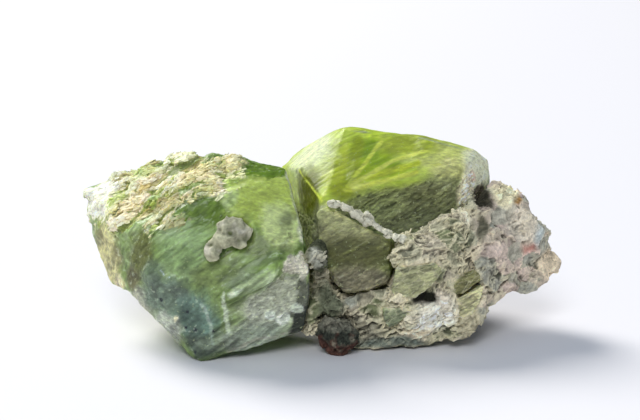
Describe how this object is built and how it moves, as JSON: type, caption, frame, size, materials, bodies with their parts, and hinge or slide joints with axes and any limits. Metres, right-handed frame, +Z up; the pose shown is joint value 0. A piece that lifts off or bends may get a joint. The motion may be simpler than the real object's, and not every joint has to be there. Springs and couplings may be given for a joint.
{
  "type": "mineral specimen",
  "caption": "Loose rough peridot specimen: blocky green crystals grown together with a crusty pale matrix, resting on small natural feet.",
  "frame": {"origin": "middle of the specimen's box in plan, on the surface it rests on", "axes": "+X to the right in the picture, along the specimen's length; +Y away from the viewer; +Z up"},
  "size_m": [0.0626, 0.0314, 0.0263],
  "materials": {
    "left_crystal": "rough cleaved gem with a crusted top",
    "right_crystal": "clear lime gem with a frosted skin",
    "small_crystal": "dull olive gem",
    "matrix": "matte fibrous stone",
    "iron_knob": "matte iron-stained stone",
    "grey_nodule": "matte grey crusted stone",
    "pale_vein": "matte white mineral"
  },
  "bodies": {
    "root": {"left_crystal": "left_crystal", "right_crystal": "right_crystal", "matrix": "matrix", "iron_knob": "iron_knob", "grey_nodule": "grey_nodule", "pale_vein": "pale_vein", "small_crystal_1": "small_crystal", "small_crystal_2": "small_crystal", "small_crystal_3": "small_crystal", "small_crystal_4": "small_crystal"}
  },
  "joints": []
}
